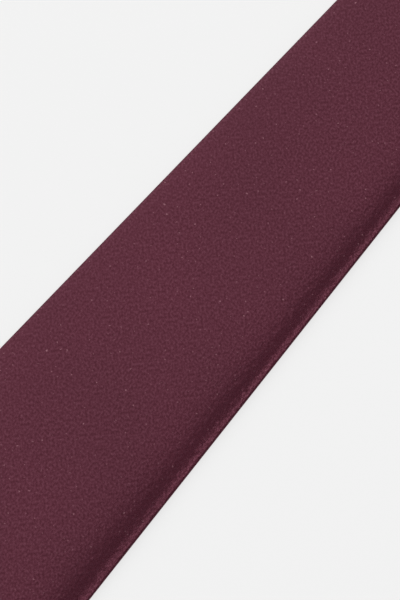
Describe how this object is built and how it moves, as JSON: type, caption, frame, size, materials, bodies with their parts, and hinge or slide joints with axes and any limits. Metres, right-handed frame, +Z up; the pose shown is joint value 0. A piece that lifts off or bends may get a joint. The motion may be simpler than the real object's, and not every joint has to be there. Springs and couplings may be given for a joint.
{
  "type": "necktie",
  "caption": "Pointed satin necktie, folded once at the neck and laid flat: front blade face up, narrow tail face down beneath it.",
  "frame": {"origin": "middle of the folded tie's outline, at the table's surface", "axes": "+X along the front blade from its point towards the neck fold, +Z up out of the satin face, tail spread towards -Y"},
  "size_m": [0.7926, 0.2452, 0.0104],
  "materials": {
    "satin": "burgundy satin, fine diagonal grain, soft sheen",
    "interlining": "undyed brushed wool blend",
    "lining": "dark burgundy lining, smooth plain weave",
    "thread": "burgundy sewing thread",
    "brand_tape": "blank woven damask label, charcoal",
    "care_tape": "blank white printed-label ribbon"
  },
  "bodies": {
    "blade": {"blade_shell": "satin", "blade_interlining": "interlining", "blade_tipping": "lining", "blade_slip_stitch": "thread", "blade_tipping_seam": "thread", "blade_bar_tack": "thread", "blade_neck_seam": "thread", "keeper_loop": "satin", "keeper_tacks": "thread", "brand_label": "brand_tape", "brand_label_stitches": "thread"},
    "tail": {"neck_shell": "satin", "neck_interlining": "interlining", "neck_slip_stitch": "thread", "neck_tail_seam": "thread", "tail_shell": "satin", "tail_interlining": "interlining", "tail_tipping": "lining", "tail_slip_stitch": "thread", "tail_tipping_seam": "thread", "tail_bar_tack": "thread", "care_label_stitches": "thread"},
    "care_label": {"care_label": "care_tape"}
  },
  "joints": [
    {"name": "neck_fold", "type": "hinge", "parent": "blade", "child": "tail", "pos_m": [0.38865, 0.08265, 0.0052], "axis": [0.1392, -0.9903, 0], "range_deg": [0, 180], "deforming": ["neck_shell", "neck_interlining", "neck_slip_stitch"]},
    {"name": "care_label_flip", "type": "hinge", "parent": "tail", "child": "care_label", "pos_m": [-0.09198, -0.05517, 0.00385], "axis": [-0.2756, 0.9613, 0], "range_deg": [0, 165]}
  ]
}
